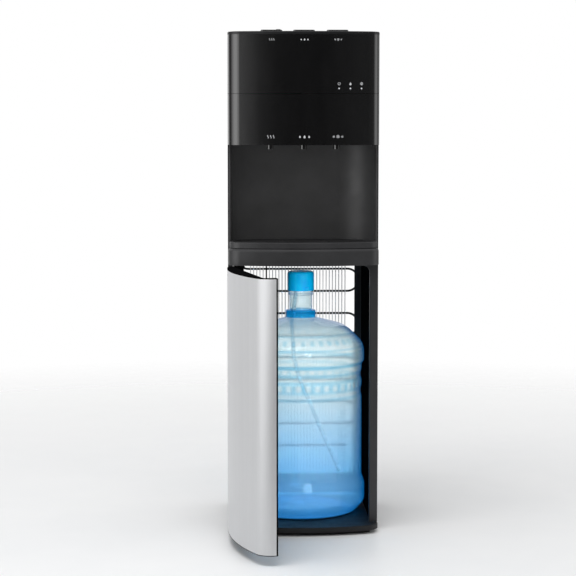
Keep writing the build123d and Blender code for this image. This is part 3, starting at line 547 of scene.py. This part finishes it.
def drop_outline(size):
    """A drop with its point up, as tall as size."""
    radius = size * 0.34
    low = arc_points(radius, 155, 385, 20, (0, -size / 2 + radius))
    return low + [(0.3 * size * 0.12, size * 0.42), (-0.3 * size * 0.12, size * 0.42)]


def flame_outline(size):
    """A flame: a leaning drop with a lick on one side."""
    points = [(0, -0.5), (0.24, -0.42), (0.36, -0.2), (0.32, 0.04), (0.16, 0.22), (0.1, 0.5),
              (-0.08, 0.3), (-0.12, 0.06), (-0.22, 0.16), (-0.34, -0.1), (-0.3, -0.34)]
    return [(u * size, v * size) for u, v in points]


def draw_heat(marks, centre, size, count=3, gap=5.0):
    """Wavy rising lines."""
    for k in range(count):
        offset = (k - (count - 1) / 2) * gap
        steps = [t / 12 for t in range(13)]
        line = [(offset + 0.16 * size * math.sin(t * 2 * math.pi), size * (t - 0.5)) for t in steps]
        marks.stroke(centre, line, size * 0.15)


def draw_snow(marks, centre, size, offset=0.0):
    """Six branched arms round a small hexagon."""
    marks.plate(centre, [(offset + u, v) for u, v in arc_points(size * 0.08, 0, 300, 5)])
    for k in range(6):
        turn = math.radians(90 + 60 * k)
        ahead = Vector((math.cos(turn), math.sin(turn)))
        across = Vector((-ahead.y, ahead.x))
        shift = Vector((offset, 0))
        arm = [shift + ahead * size * s for s in (0.1, 0.5)]
        marks.stroke(centre, [tuple(p) for p in arm], size * 0.09)
        for side in (-1, 1):
            twig = [shift + ahead * size * 0.3 + across * side * size * 0.05,
                    shift + ahead * size * 0.42 + across * side * size * 0.17]
            marks.stroke(centre, [tuple(p) for p in twig], size * 0.07)


def draw_drops(marks, centre, size, count=3, gap=8.0):
    for k in range(count):
        offset = (k - (count - 1) / 2) * gap
        scale = size if k == (count - 1) / 2 else size * 0.82
        marks.plate(centre, [(offset + u, v) for u, v in drop_outline(scale)])


def draw_power(marks, centre, size):
    """Broken ring with an upright line."""
    marks.stroke(centre, arc_points(size * 0.4, 120, 420, 24), size * 0.11)
    marks.stroke(centre, [(0, 0.06 * size), (0, 0.5 * size)], size * 0.11)


front_low, front_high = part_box("lower_front_cover")
panel_low, panel_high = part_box("control_panel")
spouts_low, spouts_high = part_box("spouts")
button_x = [sum(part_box(f"{name}_button")[i].x for i in (0, 1)) / 2 for name in ("hot", "room", "cold")]
tap_x = [spouts_low.x + 9.5 * MM, (spouts_low.x + spouts_high.x) / 2, spouts_high.x - 9.5 * MM]
light_x = [light_low.x + 4.1 * MM, (light_low.x + light_high.x) / 2, light_high.x - 4.1 * MM]


def front_row(name, places, height, size, on_node):
    """Heat lines, drops and snowflakes over hot, room and cold."""
    marks = Print([on_node])
    draw_heat(marks, (places[0], height), size, gap=size * 0.9)
    draw_drops(marks, (places[1], height), size, gap=size * 1.45)
    draw_snow(marks, (places[2], height), size * 1.1)
    for side in (-1, 1):
        draw_snow(marks, (places[2], height), size * 0.75, side * size * 1.35)
    return new_piece(name, marks.made, ink, "cabinet")


front_row("tap_marks", tap_x, front_low.z + 17 * MM, 6.4, "lower_front_cover")
front_row("button_marks", button_x, panel_high.z - 11 * MM, 4.6, "control_panel")

icons = Print(["indicator_lights"], lift=0.08)
icon_z = light_high.z - 4.1 * MM
draw_power(icons, (light_x[0], icon_z), 6.2)
icons.plate((light_x[1], icon_z), flame_outline(6.4))
draw_snow(icons, (light_x[2], icon_z), 6.6)
new_piece("light_icons", icons.made, ink, "cabinet")

switch_low, switch_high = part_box("power_switch_bodies")
rear_marks = Print(["rear_upper_cover"], facing=1)
rocker_x = [sum(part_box(f"{name}_power_rocker")[i].x for i in (0, 1)) / 2 for name in ("hot", "cold")]
rear_marks.plate((rocker_x[0], switch_high.z + 9 * MM), flame_outline(8))
draw_snow(rear_marks, (rocker_x[1], switch_high.z + 9 * MM), 8)
new_piece("switch_marks", rear_marks.made, ink, "cabinet")


# ---------------------------------------------------------------- studio
FLOOR_RADIUS = 3.2
RING = (                       # angle from the front in degrees, positive to the right, and brightness
    (-180, 0.9), (-132, 0.9), (-124, 0.12), (-104, 0.12), (-90, 0.9), (-70, 2.1), (-52, 2.3), (-40, 1.4),
    (-30, 0.4), (-20, 0.1), (-10, 0.03), (10, 0.025), (40, 0.09), (76, 0.12), (90, 1.0), (104, 1.0),
    (118, 0.25), (150, 0.3), (165, 0.9), (180, 0.9),
)
BACKDROP = 1.0
DIFFUSE_SKY = 0.7
OVERHEAD = 0.6


def make_world():
    """White backdrop for direct view and through glass; a ring of soft boxes for reflections."""
    world = bpy.data.worlds.new("studio")
    scene.world = world
    world.use_nodes = True
    tree = world.node_tree
    tree.nodes.clear()

    def add(kind, **settings):
        made = tree.nodes.new(kind)
        for key, value in settings.items():
            setattr(made, key, value)
        return made

    split = add("ShaderNodeSeparateXYZ")
    tree.links.new(add("ShaderNodeTexCoord").outputs["Generated"], split.inputs["Vector"])
    back = add("ShaderNodeMath", operation="MULTIPLY")
    back.inputs[1].default_value = -1
    tree.links.new(split.outputs["Y"], back.inputs[0])
    angle = add("ShaderNodeMath", operation="ARCTAN2")
    tree.links.new(split.outputs["X"], angle.inputs[0])
    tree.links.new(back.outputs[0], angle.inputs[1])
    turn = add("ShaderNodeMapRange")
    turn.inputs["From Min"].default_value = -math.pi
    turn.inputs["From Max"].default_value = math.pi
    tree.links.new(angle.outputs[0], turn.inputs["Value"])
    ramp = add("ShaderNodeValToRGB")
    stops = ramp.color_ramp.elements
    while len(stops) < len(RING):
        stops.new(0.5)
    brightest = max(level for _, level in RING)
    for stop, (degrees, level) in zip(stops, RING):
        stop.position = (degrees + 180) / 360
        stop.color = (level / brightest,) * 3 + (1,)
    tree.links.new(turn.outputs["Result"], ramp.inputs["Fac"])
    ring = add("ShaderNodeMath", operation="MULTIPLY")
    ring.inputs[1].default_value = brightest
    tree.links.new(ramp.outputs["Color"], ring.inputs[0])
    rise = add("ShaderNodeMapRange", interpolation_type="SMOOTHSTEP")
    rise.inputs["From Min"].default_value = 0.35
    rise.inputs["From Max"].default_value = 0.75
    tree.links.new(split.outputs["Z"], rise.inputs["Value"])
    mirror = add("ShaderNodeMix", data_type="FLOAT")
    mirror.inputs["B"].default_value = OVERHEAD
    tree.links.new(rise.outputs["Result"], mirror.inputs["Factor"])
    tree.links.new(ring.outputs[0], mirror.inputs["A"])

    path = add("ShaderNodeLightPath")
    lit = add("ShaderNodeMix", data_type="FLOAT")
    lit.inputs["A"].default_value = DIFFUSE_SKY
    tree.links.new(path.outputs["Is Glossy Ray"], lit.inputs["Factor"])
    tree.links.new(mirror.outputs["Result"], lit.inputs["B"])
    direct = add("ShaderNodeMath", operation="MAXIMUM")
    tree.links.new(path.outputs["Is Camera Ray"], direct.inputs[0])
    tree.links.new(path.outputs["Is Transmission Ray"], direct.inputs[1])
    level = add("ShaderNodeMix", data_type="FLOAT")
    level.inputs["B"].default_value = BACKDROP
    tree.links.new(direct.outputs[0], level.inputs["Factor"])
    tree.links.new(lit.outputs["Result"], level.inputs["A"])
    background = add("ShaderNodeBackground")
    background.inputs["Color"].default_value = (1, 1, 1, 1)
    tree.links.new(level.outputs["Result"], background.inputs["Strength"])
    out = add("ShaderNodeOutputWorld")
    tree.links.new(background.outputs["Background"], out.inputs["Surface"])


def make_floor():
    """Round pale floor whose edge fades into the backdrop."""
    made = bmesh.new()
    bmesh.ops.create_circle(made, cap_ends=True, segments=96, radius=FLOOR_RADIUS)
    mesh = bpy.data.meshes.new("floor")
    made.to_mesh(mesh)
    made.free()
    floor = bpy.data.objects.new("floor", mesh)
    scene.collection.objects.link(floor)
    surface = Surface("floor")
    cloud = surface.spread(surface.noise(0.5, 3), 0, 1)
    surface.colour(surface.blend(cloud, (0.86, 0.87, 0.88), (0.9, 0.905, 0.91)))
    surface.gloss(surface.spread(surface.noise(0.08, 3), 0.42, 0.55))
    reach = surface.node("ShaderNodeVectorMath", operation="LENGTH")
    surface.link(surface.place, reach.inputs[0])
    fade = surface.spread(reach.outputs["Value"], 0, 1, 0.55, 2.6)
    clear = surface.node("ShaderNodeBsdfTransparent")
    mix = surface.node("ShaderNodeMixShader")
    surface.link(fade, mix.inputs["Fac"])
    surface.link(surface.shader.outputs["BSDF"], mix.inputs[1])
    surface.link(clear.outputs["BSDF"], mix.inputs[2])
    surface.link(mix.outputs["Shader"], surface.tree.nodes["Material Output"].inputs["Surface"])
    mesh.materials.append(surface.material)


def soft_box(name, place, aim, size, power):
    """Rectangular area light pointing at a spot."""
    lamp = bpy.data.lights.new(name, "AREA")
    lamp.shape = "RECTANGLE"
    lamp.size, lamp.size_y = size
    lamp.energy = power
    made = bpy.data.objects.new(name, lamp)
    scene.collection.objects.link(made)
    made.location = place
    made.rotation_euler = (Vector(aim) - Vector(place)).to_track_quat("-Z", "Y").to_euler()
    return made


def light_only(lamp, name, lit):
    """Let a lamp light only the given objects."""
    group = bpy.data.collections.new(name)
    for piece in lit:
        group.objects.link(piece)
    lamp.light_linking.receiver_collection = group


make_world()
make_floor()
MIDDLE = (cad_box[0] + cad_box[1]) / 2
top_light = soft_box("top_light", (-0.5, -0.9, 2.7), MIDDLE, (1.6, 1.6), 36)
top_light.visible_glossy = False
door_light = soft_box("door_light", (-0.5, -2.9, 1.1), (-0.15, -0.3, 0.35), (3.2, 2.0), 38)
light_only(door_light, "door_lit", [nodes["door_skin"]])
bay_light = soft_box("bay_light", (0.35, -1.9, 0.7), (0.0, 0.0, 0.3), (0.5, 0.9), 26)
bay_light.visible_glossy = False
light_only(bay_light, "bay_lit", [bottle, nodes["bottle_cap"], nodes["condenser_wires"], nodes["dip_tube"]])

# ---------------------------------------------------------------- camera
CAMERA_PLACE = (-0.1591, -3.9547, 0.868)
CAMERA_PITCH = 5.345
CAMERA_YAW = 1.906
camera = bpy.data.objects.new("camera", bpy.data.cameras.new("camera"))
scene.collection.objects.link(camera)
camera.data.sensor_width = 36
camera.data.lens = 116.68
camera.data.clip_end = 50
camera.location = CAMERA_PLACE
camera.rotation_euler = (math.radians(90 - CAMERA_PITCH), 0, -math.radians(CAMERA_YAW))
scene.camera = camera
scene.view_settings.view_transform = "Standard"
